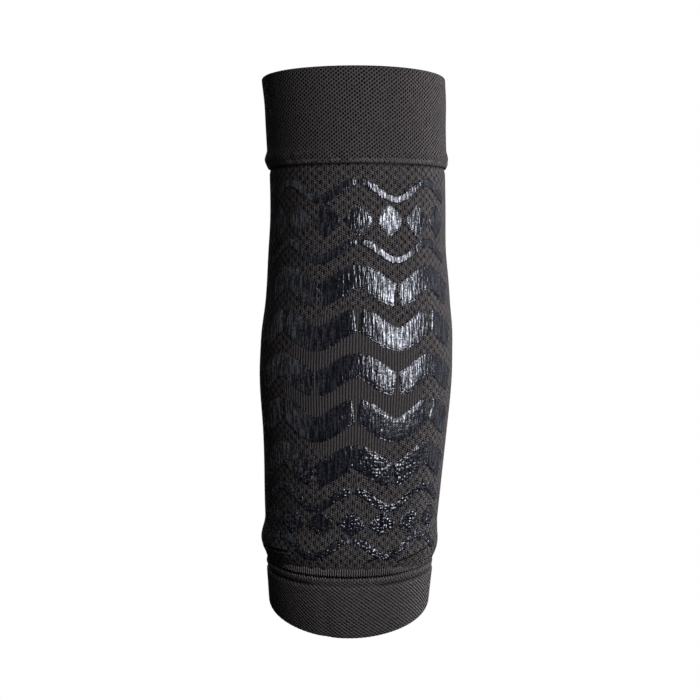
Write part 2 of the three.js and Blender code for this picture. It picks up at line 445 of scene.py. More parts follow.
def worn(station, angle):
    """Slow dents of cloth pulled over an arm, up to about a millimetre: slanted ripples round it, bell curves
    along it that lean the upper cuff to +X and the tube below it to -X, widen the tube above the elbow, puff
    the fold out on its -X side and hang it lower on its +X side, and the creases, each a narrow dip between
    two lips."""
    ripples = (
        np.sin(3 * angle + station / 23)
        + np.sin(5 * angle - station / 17 + 1.7)
        + 0.6 * np.sin(2 * angle + station / 9 + 0.6)
    )
    side = np.sin(angle)
    slow = side * bells(station, LEAN_TO_RIGHT) + side ** 2 * bells(station, WIDE_AT_SIDES)
    puff = np.maximum(-side, 0) * bells(station, PUFF_ON_LEFT)
    hang = np.maximum(side, 0) * bells(station, HANG_ON_RIGHT)
    creases = sum(height * crease_lines(station, angle, width) for width, height in CREASE_FORM)
    return RIPPLE_HEIGHT * ripples + slow + puff + hang + creases


# The knits' relief


def lattice(across, up):
    """A staggered lattice of two phases: the product of their cosines, 1 at each hole."""
    return np.cos(across) * np.cos(up)


def rib_zone(station, angle):
    """1 inside the round panel of plain ribs over the elbow's point, and 0 outside it."""
    across = (angle * GRIP_RADIUS - PANEL_CENTRE[0]) / PANEL_REACH[0]
    up = (station - PANEL_CENTRE[1]) / PANEL_REACH[1]
    return 1 - ease(*PANEL_EDGE, np.hypot(across, up))


def tube_face(station, sizes):
    """The tube's outer face: its wall, and a cosine fold of spare knit above the lower cuff."""
    reach = FOLD_CREST - TUBE_BOTTOM
    away = np.minimum(np.abs(station - FOLD_CREST) / reach, 1)
    return (sizes.knit_wall + sizes.fold_rise * np.cos(math.pi / 2 * away) ** 2) / MM


def tube_relief(station, angle, sizes):
    """Millimetres that the tube's knit stands up: tuck holes sunk at the lattice's points outside the
    elbow panel, a cosine rib for each wale inside it, and a pinch where the roll is sewn on."""
    zone = rib_zone(station, angle)
    points = lattice(sizes.pique_cells * angle, math.pi * MM * station / sizes.pique_course)
    holes = -sizes.pique_depth / MM * ease(0.15, 0.95, points)
    ribs = sizes.rib_depth / MM * (np.cos(sizes.rib_count * angle) - 0.5)
    pinch = PINCH_DEPTH * ease(*PINCH_BELOW_ROLL, ROLL_BOTTOM - station)
    return holes * (1 - zone) + ribs * zone - pinch


# Meshes


def mesh_piece(name, points, faces, stitches, marks=None):
    """An object from arrays of points, four-cornered faces, the stitch map at each face corner, and named
    marks at each point. Its faces are shaded smooth."""
    mesh = bpy.data.meshes.new(name)
    mesh.vertices.add(len(points))
    mesh.vertices.foreach_set("co", points.astype(np.float32).ravel())
    mesh.loops.add(faces.size)
    mesh.loops.foreach_set("vertex_index", faces.astype(np.int32).ravel())
    mesh.polygons.add(len(faces))
    mesh.polygons.foreach_set("loop_start", np.arange(0, faces.size, 4, dtype=np.int32))
    mesh.polygons.foreach_set("use_smooth", np.ones(len(faces), dtype=bool))
    mesh.uv_layers.new(name="stitches").uv.foreach_set("vector", stitches.astype(np.float32).ravel())
    for label, values in (marks or {}).items():
        mark = mesh.attributes.new(label, "FLOAT", "POINT")
        mark.data.foreach_set("value", values.astype(np.float32).ravel())
    mesh.update(calc_edges=True)
    piece = bpy.data.objects.new(name, mesh)
    bpy.context.scene.collection.objects.link(piece)
    return piece


def wall_piece(name, outer, inner, angle, cells, climb, marks):
    """A closed wall round the arm. outer and inner hold stations, offsets and distances along the cloth, rows
    by columns, from the top down, and the inner rows follow in reverse. The stitch map holds phases: a full
    turn for each cell round the arm, and what climb gives for a distance, half a turn for each course. Marks
    are given for the outer rows."""
    station, offset, path = (np.concatenate([out, back[::-1]]) for out, back in zip(outer, inner))
    turn = np.broadcast_to(angle, station.shape)
    rows, columns = station.shape
    phase = np.stack([cells * turn, climb(path)], axis=-1)
    phase = np.concatenate([phase, phase[:, :1] + np.array([TURN * cells, 0])], axis=1)
    r, c = np.meshgrid(np.arange(rows), np.arange(columns), indexing="ij")
    corners = ((r, c), ((r + 1) % rows, c), ((r + 1) % rows, c + 1), (r, c + 1))
    faces = np.stack([row * columns + column % columns for row, column in corners], axis=-1).reshape(-1, 4)
    stitches = np.stack([phase[row, column] for row, column in corners], axis=-2).reshape(-1, 2)
    marks = {key: np.concatenate([value, np.zeros_like(inner[0])]) for key, value in marks.items()}
    return mesh_piece(name, on_arm(station, turn, offset).reshape(-1, 3), faces, stitches, marks)


def tubes_piece(name, tubes):
    """One mesh of many closed tubes. Each is a pair of points and stitch phases, steps by ring. Its faces run
    from a ring to the next, and each end is filled by strips across its ring."""
    points, faces, stitches = [], [], []
    base = 0
    for place, phase in tubes:
        steps, ring = place.shape[:2]
        r, c = np.meshgrid(np.arange(steps - 1) * ring, np.arange(ring), indexing="ij")
        c_next = (c + 1) % ring
        side = np.stack([r + c, r + ring + c, r + ring + c_next, r + c_next], axis=-1).reshape(-1, 4)
        i = np.arange(ring // 2 - 1)
        start = np.stack([i, i + 1, ring - 2 - i, ring - 1 - i], axis=-1)
        index = np.concatenate([side, start, start[:, ::-1] + (steps - 1) * ring])
        points.append(place.reshape(-1, 3))
        faces.append(index + base)
        stitches.append(phase.reshape(-1, 2)[index].reshape(-1, 2))
        base += steps * ring
    return mesh_piece(name, np.concatenate(points), np.concatenate(faces), np.concatenate(stitches))


def stitch_row(angle, station, offset, half_length, half_width, half_height, tilt=0.0, slope=0.0):
    """Thread stitches round the arm, one for each angle. From one ring of a stitch to the next a bearing runs
    through almost half a turn: the ring lies at minus its cosine of the half length, and is as thick as its
    sine to the power 0.6. The tilt leans the stitch over in its own plane, and the slope is how far its
    offset rises for each millimetre up the arm."""
    angle, station, offset, half_length, tilt = (
        value[:, None, None] for value in np.broadcast_arrays(angle, station, offset, half_length, tilt)
    )
    ring = np.linspace(0.03, 0.97, 8)[:, None] * math.pi
    side = np.linspace(0, TURN, 8, endpoint=False)[None, :]
    girth = np.sin(ring) ** 0.6
    down = half_length * -np.cos(ring) + 0 * side
    across = half_width * girth * np.sin(side)
    drop = down * np.cos(tilt) - across * np.sin(tilt)
    swing = (down * np.sin(tilt) + across * np.cos(tilt)) / GRIP_RADIUS
    phase = np.stack([side + 0 * ring, ring * 3 + 0 * side], axis=-1)
    lift = offset - slope * drop + half_height * girth * np.cos(side)
    points = on_arm(station - drop, angle + swing, lift)
    return [(place, phase) for place in points]


def finish_piece(piece, material, slot, *nodes):
    """Gives a piece its material and ties it to the frame."""
    piece.data.materials.append(material)
    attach(piece, "root")
    if nodes:
        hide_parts(*nodes)


# Materials


def linear(text):
    """An sRGB hex colour as linear RGBA."""
    parts = [int(text[i:i + 2], 16) / 255 for i in (1, 3, 5)]
    return tuple(p / 12.92 if p <= 0.04045 else ((p + 0.055) / 1.055) ** 2.4 for p in parts) + (1.0,)


def add(tree, kind, inputs=None, **settings):
    """Adds a node with its settings, and sets its inputs or links them to a node or an output."""
    node = tree.nodes.new("ShaderNode" + kind)
    for key, value in settings.items():
        setattr(node, key, value)
    for key, value in (inputs or {}).items():
        if isinstance(value, bpy.types.Node):
            tree.links.new(value.outputs[0], node.inputs[key])
        elif isinstance(value, bpy.types.NodeSocket):
            tree.links.new(value, node.inputs[key])
        else:
            node.inputs[key].default_value = value
    return node


def new_material(name):
    """A material with an empty tree."""
    material = bpy.data.materials.new(name)
    material.use_nodes = True
    material.node_tree.nodes.clear()
    return material, material.node_tree


# Texturised polyamide and elastane yarn: matt, painted shade black between the loops, no two stitches quite
# alike
def knit_material(name, yarn, pit, slack, draw_pits):
    """A knit whose pits are drawn by a function of the stitch map's phases, which wander by the slack."""
    material, tree = new_material(name)
    stitches = add(tree, "UVMap", uv_map="stitches")
    wander = add(
        tree, "TexNoise", {"Vector": stitches, "Scale": STITCH_UNIT / YARN_WANDER, "Detail": 1.0},
        normalize=False,
    )
    loose = add(
        tree, "VectorMath", {0: wander.outputs["Color"], 1: (slack, slack, 1.0), 2: stitches},
        operation="MULTIPLY_ADD",
    )
    pits = draw_pits(tree, add(tree, "SeparateXYZ", {0: loose}))
    # Painted shade: the pits and the marked shade darken the yarn towards the pit colour
    painted_shade = add(tree, "Attribute", attribute_name="painted_shade", attribute_type="GEOMETRY")
    depth = add(tree, "Math", {0: pits, 1: painted_shade.outputs["Fac"]}, operation="MAXIMUM")
    fuzz = add(tree, "TexNoise", {
        "Vector": stitches, "Scale": STITCH_UNIT / YARN_FRAY, "Detail": 3.0, "Roughness": 0.7,
    })
    shade = add(tree, "MapRange", {0: fuzz, 1: 0.3, 2: 0.7, 3: 0.5, 4: 1.5})
    tint = add(tree, "Mix", {0: depth, 6: linear(yarn), 7: linear(pit)}, data_type="RGBA")
    colour = add(tree, "VectorMath", {0: tint.outputs[2], 1: shade}, operation="MULTIPLY")
    height = add(tree, "Math", {0: fuzz, 1: -0.6, 2: pits}, operation="MULTIPLY_ADD")
    bump = add(tree, "Bump", {"Strength": 0.7, "Distance": 0.3 * MM, "Height": height}, invert=True)
    shader = add(tree, "BsdfPrincipled", {
        "Base Color": colour, "Roughness": 0.8, "Specular IOR Level": 0.03, "Normal": bump,
    })
    add(tree, "OutputMaterial", {"Surface": shader})
    return material


def pique_pits(tree, phase, ribs_to_cell):
    """Four wales to a cell with a groove between them, which swing apart round the tuck holes at the
    lattice's points, and loops up each wale. The third phase makes some holes tighter than others. Inside
    the elbow panel there are only the grooves between its ribs, which wander less than the wales do."""
    rib_wander = 0.8
    x, y, z = phase.outputs
    across = add(tree, "Math", {0: x}, operation="COSINE")
    up = add(tree, "Math", {0: y}, operation="COSINE")
    points = add(tree, "Math", {0: across, 1: up}, operation="MULTIPLY")
    aside = add(tree, "Math", {0: x}, operation="SINE")
    swing = add(tree, "Math", {0: aside, 1: up}, operation="MULTIPLY")
    quarters = add(tree, "Math", {0: x, 1: 4.0}, operation="MULTIPLY")
    apart = add(tree, "Math", {0: swing, 1: -1.0, 2: quarters}, operation="MULTIPLY_ADD")
    gaps = add(tree, "Math", {0: apart}, operation="COSINE")
    halves = add(tree, "Math", {0: x, 1: 2.0}, operation="MULTIPLY")
    climb = add(tree, "Math", {0: y, 1: 4.0, 2: halves}, operation="MULTIPLY_ADD")
    loops = add(tree, "Math", {0: climb}, operation="COSINE")
    slots = add(tree, "Math", {0: points, 1: 0.9, 2: gaps}, operation="MULTIPLY_ADD")
    tangle = add(tree, "Math", {0: loops, 1: 0.9, 2: slots}, operation="MULTIPLY_ADD")
    tight = add(tree, "Math", {0: z, 1: 0.6, 2: tangle}, operation="MULTIPLY_ADD")
    tucks = add(tree, "MapRange", {0: tight, 1: -1.0, 2: 1.2}, interpolation_type="SMOOTHSTEP")
    still = add(tree, "SeparateXYZ", {0: add(tree, "UVMap", uv_map="stitches")})
    steady = add(tree, "Math", {0: still.outputs[0], 1: ribs_to_cell - rib_wander}, operation="MULTIPLY")
    thirds = add(tree, "Math", {0: x, 1: rib_wander, 2: steady}, operation="MULTIPLY_ADD")
    ribs = add(tree, "Math", {0: thirds}, operation="COSINE")
    grooves = add(
        tree, "MapRange", {0: ribs, 1: 0.6, 2: -0.9, 3: 0.16, 4: 0.78}, interpolation_type="SMOOTHSTEP",
    )
    zone = add(tree, "Attribute", attribute_name="rib_zone", attribute_type="GEOMETRY")
    return add(tree, "Mix", {0: zone.outputs["Fac"], 2: tucks, 3: grooves})


def mesh_pits(tree, phase):
    """The small dark dots of the elastic mesh, at the lattice's points, in fainter dark lines up the cuff,
    two to a cell, and in faint slanted ones that rise towards +X."""
    x, y, _ = phase.outputs
    across = add(tree, "Math", {0: x}, operation="COSINE")
    up = add(tree, "Math", {0: y}, operation="COSINE")
    points = add(tree, "Math", {0: across, 1: up}, operation="MULTIPLY")
    halves = add(tree, "Math", {0: x, 1: 2.0}, operation="MULTIPLY")
    lines = add(tree, "Math", {0: halves}, operation="COSINE")
    lined = add(tree, "Math", {0: lines, 1: 0.4, 2: points}, operation="MULTIPLY_ADD")
    rise = add(tree, "Math", {0: x, 1: y}, operation="SUBTRACT")
    slant = add(tree, "Math", {0: rise}, operation="COSINE")
    dots = add(tree, "Math", {0: slant, 1: 0.15, 2: lined}, operation="MULTIPLY_ADD")
    return add(tree, "MapRange", {0: dots, 1: -0.55, 2: 0.65}, interpolation_type="SMOOTHSTEP")


def twill_pits(tree, phase):
    """Dark slanted lines, one for each turn of the map's two phases together, with beads along them."""
    x, y, _ = phase.outputs
    slant = add(tree, "Math", {0: y, 1: 2.0, 2: x}, operation="MULTIPLY_ADD")
    lines = add(tree, "Math", {0: slant}, operation="COSINE")
    counter = add(tree, "Math", {0: y, 1: -2.0, 2: x}, operation="MULTIPLY_ADD")
    beads = add(tree, "Math", {0: counter}, operation="COSINE")
    both = add(tree, "Math", {0: beads, 1: 0.45, 2: lines}, operation="MULTIPLY_ADD")
    return add(tree, "MapRange", {0: both, 1: -0.8, 2: 1.2, 4: 0.9}, interpolation_type="SMOOTHSTEP")


# Screen-printed silicone: glossy and blue-black, its highlights broken into streaks by the wales below, and
# its dark side mottled with lighter specks, a painted sheen on the bumps of the loops that show through
def silicone_material(name, colour, painted_sheen, gleam):
    """Silicone rubber with long thin streaks along the wales, and beads of uneven height where it ran through
    the loops, which stand higher towards the lower cuff. Its gloss comes and goes with the streaks."""
    material, tree = new_material(name)
    stitches = add(tree, "UVMap", uv_map="stitches")
    phase = add(tree, "SeparateXYZ", {0: stitches})
    stretch = (STITCH_UNIT / STREAK_WIDTH, STITCH_UNIT / STREAK_LENGTH, 1.0)
    drawn = add(tree, "VectorMath", {0: stitches, 1: stretch}, operation="MULTIPLY")
    streaks = add(tree, "TexNoise", {"Vector": drawn, "Scale": 1.0, "Detail": 2.0}, normalize=False)
    grain = add(tree, "TexNoise", {
        "Vector": stitches, "Scale": STITCH_UNIT / SILICONE_GRAIN, "Detail": 2.0, "Roughness": 0.6,
    })
    beads = add(tree, "TexVoronoi", {"Vector": stitches, "Scale": STITCH_UNIT / BEAD_SIZE})
    domes = add(tree, "Math", {0: beads, 1: beads}, operation="MULTIPLY")
    rough = add(tree, "MapRange", {0: phase.outputs[1], 1: -45.0, 2: -85.0, 3: -3.0, 4: -34.0})
    vary = add(tree, "Math", {0: beads.outputs["Color"], 1: rough}, operation="MULTIPLY")
    speckle = add(tree, "Math", {0: domes, 1: vary}, operation="MULTIPLY")
    height = add(tree, "Math", {0: streaks, 1: 2.4, 2: speckle}, operation="MULTIPLY_ADD")
    bump = add(tree, "Bump", {"Strength": 1.0, "Distance": 0.04 * MM, "Height": height})
    # Painted sheen: the colour lightens towards the speck colour along the streaks and grain, where the gloss
    # is higher too
    mottle = add(tree, "Math", {0: streaks, 1: 0.5, 2: grain}, operation="MULTIPLY_ADD")
    share = add(tree, "MapRange", {0: mottle, 1: 0.4, 2: 0.7})
    tint = add(tree, "Mix", {0: share, 6: linear(colour), 7: linear(painted_sheen)}, data_type="RGBA")
    gloss = add(tree, "MapRange", {0: share, 3: 0.14, 4: 0.9})
    matt = add(tree, "MapRange", {0: share, 3: 0.26, 4: 0.15})
    shader = add(tree, "BsdfPrincipled", {
        "Base Color": tint.outputs[2], "Roughness": matt, "IOR": 1.48, "Specular IOR Level": gloss,
        "Specular Tint": linear(gleam), "Normal": bump,
    })
    add(tree, "OutputMaterial", {"Surface": shader})
    return material


# Spun polyester sewing thread: matt, with the twist of its plies
def thread_material(name, colour):
    """Thread with slanted plies, about three twists to a stitch, which is coarser than real thread's, so that
    they show."""
    material, tree = new_material(name)
    x, y, _ = add(tree, "SeparateXYZ", {0: add(tree, "UVMap", uv_map="stitches")}).outputs
    slant = add(tree, "Math", {0: y, 1: 2.0, 2: x}, operation="MULTIPLY_ADD")
    twist = add(tree, "Math", {0: slant}, operation="SINE")
    shade = add(tree, "MapRange", {0: twist, 1: -1.0, 2: 1.0, 3: 0.7, 4: 1.2})
    tint = add(tree, "VectorMath", {0: linear(colour)[:3], 1: shade}, operation="MULTIPLY")
    bump = add(tree, "Bump", {"Strength": 0.4, "Distance": 0.1 * MM, "Height": twist})
    shader = add(tree, "BsdfPrincipled", {
        "Base Color": tint, "Roughness": 0.75, "Specular IOR Level": 0.2, "Normal": bump,
    })
    add(tree, "OutputMaterial", {"Surface": shader})
    return material


# Matt white studio paper, lit evenly so that it stays white
def paper_material(name, colour):
    """Paper that shows one even colour."""
    material, tree = new_material(name)
    glow = add(tree, "Emission", {"Color": linear(colour), "Strength": 1.0})
    add(tree, "OutputMaterial", {"Surface": glow})
    return material


# The pieces


def tube_angles(cells):
    """Angles of the tube's columns: three to a wale over the elbow, three to two wales at the sides and one
    to a wale behind, with four wales to a cell."""
    wales = 4 * cells
    front = round(wales * FINEST_WITHIN / 360)
    side = round(wales * FINER_WITHIN / 360)
    return TURN / wales * np.concatenate([
        even(-side, -front, 2 / 3)[:-1], even(-front, front, 1 / 3)[:-1], even(front, side, 2 / 3)[:-1],
        even(side, wales - side, 1)[:-1],
    ])


class ELBOW_OT_knit_tube(bpy.types.Operator):
    """Builds the knitted tube, tuck knit round the arm and plain ribs over the elbow"""

    bl_idname = "elbow_support.knit_tube"
    bl_label = "Knitted tube"

    def execute(self, context):
        sizes = context.scene.elbow_sizes
        colours = context.scene.elbow_colours
        course = sizes.pique_course / MM
        angle = tube_angles(sizes.pique_cells)[None, :]
        rows = np.concatenate([
            even(TUBE_TOP, CREASED[0], step=course / 2)[:-1],
            even(*CREASED, step=0.4)[:-1],
            even(CREASED[1], TUBE_BOTTOM, step=0.9),
        ])
        station = rows[:, None] + 0 * angle
        turn = (angle + math.pi) % TURN - math.pi + 0 * station
        lift = tube_face(station, sizes) + tube_relief(station, turn, sizes) + worn(station, turn)
        inside = even(TUBE_TOP, TUBE_BOTTOM, step=12)[:, None] + 0 * angle
        # Painted shade for the knit's colour: below the roll, above the lower seam where no fold hangs over
        # it, and in the creases
        shade_under_roll = 0.8 * ease(*SHADE_BELOW_ROLL, ROLL_BOTTOM - station)
        shade_at_seam = (0.7 - 0.6 * covered(turn)) * ease(*SHADE_ABOVE_SEAM, station - TUBE_BOTTOM)
        shade_in_creases = 0.9 * ease(0.15, 0.7, crease_lines(station, turn, CREASE_SHADE_WIDTH))
        shade = np.maximum(np.maximum(shade_under_roll, shade_at_seam), shade_in_creases)
        marks = {"rib_zone": rib_zone(station, turn), "painted_shade": shade}
        piece = wall_piece(
            "knitted_tube", (station, lift, station), (inside, 0 * inside, inside), angle, sizes.pique_cells,
            lambda place: math.pi * place / course, marks,
        )
        knit = knit_material(
            "tuck-stitch polyamide knit", colours.yarn, colours.pit, slack=0.5,
            draw_pits=lambda tree, phase: pique_pits(tree, phase, sizes.rib_count / sizes.pique_cells),
        )
        finish_piece(piece, knit, "sleeve_knit", "sleeve_tube")
        return {"FINISHED"}


class ELBOW_OT_upper_cuff(bpy.types.Operator):
    """Builds the folded upper cuff with the sewn roll along its lower edge"""

    bl_idname = "elbow_support.upper_cuff"
    bl_label = "Upper cuff"

    def execute(self, context):
        sizes = context.scene.elbow_sizes
        colours = context.scene.elbow_colours
        wall = sizes.cuff_wall / MM
        under = sizes.knit_wall / MM + SEAM_GAP
        cells = sizes.mesh_cells
        course = sizes.mesh_course / MM
        angle = np.linspace(-math.pi, math.pi, cells * 4, endpoint=False)[None, :]
        fold = wall / 2
        top = TOP_RIM - fold
        rim = np.linspace(math.pi, 0, 12)[:-1]
        rows = even(top, ROLL_BOTTOM, step=course / 2)
        station = np.concatenate([top + fold * np.sin(rim), rows])[:, None] + 0 * angle
        path = np.concatenate([top + fold * rim, rows])[:, None] + 0 * angle
        rounding = np.concatenate([fold * (np.cos(rim) - 1), 0 * rows])[:, None]
        climbed = np.clip((station - ROLL_CREST) / (ROLL_TOP - ROLL_CREST), 0, 1)
        above = 0.5 + 0.5 * np.cos(math.pi * climbed)
        below = np.clip((ROLL_CREST - station) / (ROLL_CREST - ROLL_BOTTOM), 0, 1)
        lumps = 0.2 * uneven(31 * angle, 3 * angle) + 0.1 * uneven(97 * angle, 5 * angle)
        crest = sizes.roll_rise / MM + lumps - ROLL_SIDE_DROP * np.maximum(np.sin(angle), 0)
        drop = (wall + crest - under - ROLL_EDGE) * below ** 1.5
        dots = DOT_DEPTH * ease(0.0, 0.9, lattice(cells * angle, math.pi * station / course))
        dots = dots * ease(*DOTS_START, top - station)
        lift = wall + rounding + crest * above - drop - dots + worn(station, angle)
        inside = np.array([(top + TUBE_TOP) / 2, TUBE_TOP + SEAM_GAP, TUBE_TOP + SEAM_GAP, ROLL_BOTTOM])
        inside = inside[:, None] + 0 * angle
        over = np.array([0, 0, under, under])[:, None] + worn(top, angle) * ease(ROLL_TOP, top, inside)
        inner_path = 2 * top + math.pi * fold - inside
        # Painted shade on the roll just above its lower edge
        marks = {"painted_shade": 0.8 * ease(*SHADE_ON_ROLL, station - ROLL_BOTTOM)}
        piece = wall_piece(
            "upper_cuff_band", (station, lift, path), (inside, over, inner_path), angle, cells,
            lambda place: math.pi * place / course, marks,
        )
        knit = knit_material(
            "elastic mesh knit", colours.mesh_yarn, colours.pit, slack=0.7, draw_pits=mesh_pits,
        )
        finish_piece(piece, knit, "cuff_knit", "upper_cuff")
        return {"FINISHED"}


class ELBOW_OT_lower_cuff(bpy.types.Operator):
    """Builds the lower cuff with the edge of its turned-up hem"""

    bl_idname = "elbow_support.lower_cuff"
    bl_label = "Lower cuff"

    def execute(self, context):
        sizes = context.scene.elbow_sizes
        colours = context.scene.elbow_colours
        wall = sizes.cuff_wall / MM
        strip = sizes.hem_strip / MM
        lines = sizes.twill_lines
        course = sizes.twill_course / MM
        angle = np.linspace(0, TURN, lines * 4, endpoint=False)[None, :]
        turn = (angle + math.pi) % TURN - math.pi
        fold = wall / 2
        low = BOTTOM_RIM + fold
        top = TUBE_BOTTOM - SEAM_GAP
        rim = np.linspace(0, math.pi, 12)[1:]
        rows = even(top, low, step=course / 5)
        station = np.concatenate([rows, low - fold * np.sin(rim)])[:, None] + 0 * angle
        path = np.concatenate([rows, low - fold * rim])[:, None] + 0 * angle
        rounding = np.concatenate([0 * rows, fold * (np.cos(rim) - 1)])[:, None]
        flat = np.degrees(turn)
        below = HEM_EDGE - station
        loose = 1 - 0.95 * between(*HEM_FLAT, flat)
        groove = loose * bell(station, HEM_EDGE, GROOVE_WIDTH)
        bulge = STRIP_BULGE * np.sin(math.pi * np.clip((top - station) / (top - HEM_EDGE), 0, 1))
        body = strip + (wall - strip) * ease(*HEM_STEP, below)
        dent = DENT_DEPTH * bell(flat, DENT_ANGLE, DENT_WIDTH) * ease(*DENT_START, below)

        def climb(place):
            return math.pi * (place - top) * (1 + CUFF_BEND * np.cos(angle)) / course

        ridges = RIDGE_HEIGHT * np.cos(lines * angle + 2 * climb(path)) * ease(*RIDGES_START, below)
        lift = body + bulge + rounding - GROOVE_DEPTH * groove - dent - ridges + worn(station, angle)
        inside = np.array([top, (top + low) / 2])[:, None] + 0 * angle
        inner_path = 2 * low - math.pi * fold - inside
        # Painted shade in the hem's groove, below the lower seam where no fold hangs over it, and faintly on
        # the strip above the hem's edge
        shade_at_seam = (1 - 0.8 * covered(turn)) * ease(*SHADE_BELOW_SEAM, top - station)
        shade = np.maximum(np.maximum(0.85 * groove, shade_at_seam), 0.2 * ease(*STRIP_SHADE, below))
        piece = wall_piece(
            "lower_cuff_band", (station, lift, path), (inside, 0 * inside, inner_path), angle, lines, climb,
            {"painted_shade": shade},
        )
        knit = knit_material(
            "elastic twill knit", colours.twill_yarn, colours.pit, slack=0.5, draw_pits=twill_pits,
        )
        finish_piece(piece, knit, "cuff_knit", "lower_cuff")
        return {"FINISHED"}


class ELBOW_OT_sewing(bpy.types.Operator):
    """Builds the sewing: whip stitches on the roll, and gathered ribs and a chain at the lower seam"""

    bl_idname = "elbow_support.sewing"
    bl_label = "Sewing"

    def execute(self, context):
        sizes = context.scene.elbow_sizes
        colours = context.scene.elbow_colours
        thread = thread_material("spun polyester thread", colours.thread)
        angle = np.linspace(0, TURN, sizes.whip_count, endpoint=False)
        vary = uneven(71 * angle, 5 * angle)
        whip = stitch_row(
            angle, station=ROLL_BOTTOM + WHIP_ABOVE, offset=2.72 + 0.1 * vary, half_length=1.3 + 0.3 * vary,
            half_width=0.34, half_height=0.32, tilt=0.7 + 0.25 * vary, slope=0.42,
        )
        finish_piece(tubes_piece("whip_stitches", whip), thread, "cuff_knit")
        angle = np.linspace(-math.pi, math.pi, sizes.gather_count, endpoint=False)
        half_length = 1.8 + 0.5 * uneven(43 * angle, 9 * angle)
        gathers = stitch_row(
            angle, station=TUBE_BOTTOM + half_length + 0.1,
            offset=sizes.knit_wall / MM + 0.3 - 0.7 * covered(angle), half_length=half_length, half_width=0.4,
            half_height=0.5,
        )
        finish_piece(tubes_piece("gathered_ribs", gathers), thread, "sleeve_knit")
        angle = np.linspace(0, TURN, sizes.chain_count, endpoint=False)
        vary = uneven(53 * angle, 7 * angle)
        chain = stitch_row(
            angle, station=TUBE_BOTTOM - CHAIN_BELOW, offset=sizes.hem_strip / MM + 0.1 + 0.1 * vary,
            half_length=0.95 + 0.2 * vary, half_width=0.4, half_height=0.4, tilt=0.6 + 0.15 * vary,
        )
        finish_piece(tubes_piece("chain_stitches", chain), thread, "cuff_knit")
        return {"FINISHED"}


def grip_pad(low, high, station, slope, half_height, sizes):
    """A thin pad on the tube, from low to high across the arm. Its centre line, slope and half height are
    functions of the distance across. Over its height a superellipse of power 4 gives it round shoulders, and
    its ends round off as a quarter circle. Its edges are ragged, scalloped by the wales and notched. Its top
    has uneven streaks along the wales, which give way to beads towards the lower cuff."""
    close = PAD_END * np.array([0, 0.03, 0.1, 0.22, 0.4, 0.65])
    length_way = even(low + PAD_END, high - PAD_END, PAD_COLUMN)
    across = np.concatenate([low + close, length_way, (high - close)[::-1]])[:, None]
    near = np.clip(np.minimum(across - low, high - across) / PAD_END, 0, 1)
    round_end = np.sqrt(1 - (1 - near) ** 2)
    top = np.linspace(-1, 1, 2 * round(half_height(across).max() / PAD_ROW))
    top = top * (1.5 - 0.5 * top * top)
    wide = np.concatenate([[-1], top, [1]])[None, :]
    tall = np.concatenate([[0], (1 - np.minimum(top ** 4, 1)) ** 0.25, [0]])[None, :]
    sunk = np.concatenate([[1], 0 * top, [1]])[None, :]
    ragged = 0.3 * uneven(4.1 * across, 2 * np.sign(wide) + station(across))
    scallop = 0.18 * np.cos(4 * sizes.pique_cells * across / GRIP_RADIUS + 2 * np.sign(wide))
    half = half_height(across) - 0.9 * (1 - round_end) + ragged + scallop
    length = np.hypot(1, slope(across))
    place = station(across) + half * wide / length
    fray = 0.4 * (1 - round_end) * uneven(2.6 * half * wide + low, high)
    angle = (across + fray - half * wide * slope(across) / length) / GRIP_RADIUS
    wales = 4 * sizes.pique_cells * angle
    wander = uneven(wales / 5, place / 3)
    streaks = np.cos(wales / 2 + 2 * wander) + np.cos(wales + 3 * uneven(wales / 7, place / 2))
    beads = lattice(wales + wander, 4 * math.pi * MM * place / sizes.pique_course + wales / 2)
    low_down = ease(*PAD_BEADS, place)
    relief = 0.04 * streaks * (1 - low_down) + 0.07 * beads * low_down
    rim = np.maximum(ease(0.6, 1, np.abs(wide)), 1 - near)
    notch = rim * ease(-0.3, 0.5, uneven(5.3 * across, 5.1 * place))
    thick = (sizes.grip_thickness / MM + relief) * tall * round_end * (1 - 0.85 * notch)
    lift = tube_face(place, sizes) + worn(place, angle) + PAD_LIFT + thick - PAD_SINK * sunk
    phase = np.stack([sizes.pique_cells * angle, math.pi * MM * place / sizes.pique_course], axis=-1)
    return on_arm(place, angle, lift), phase


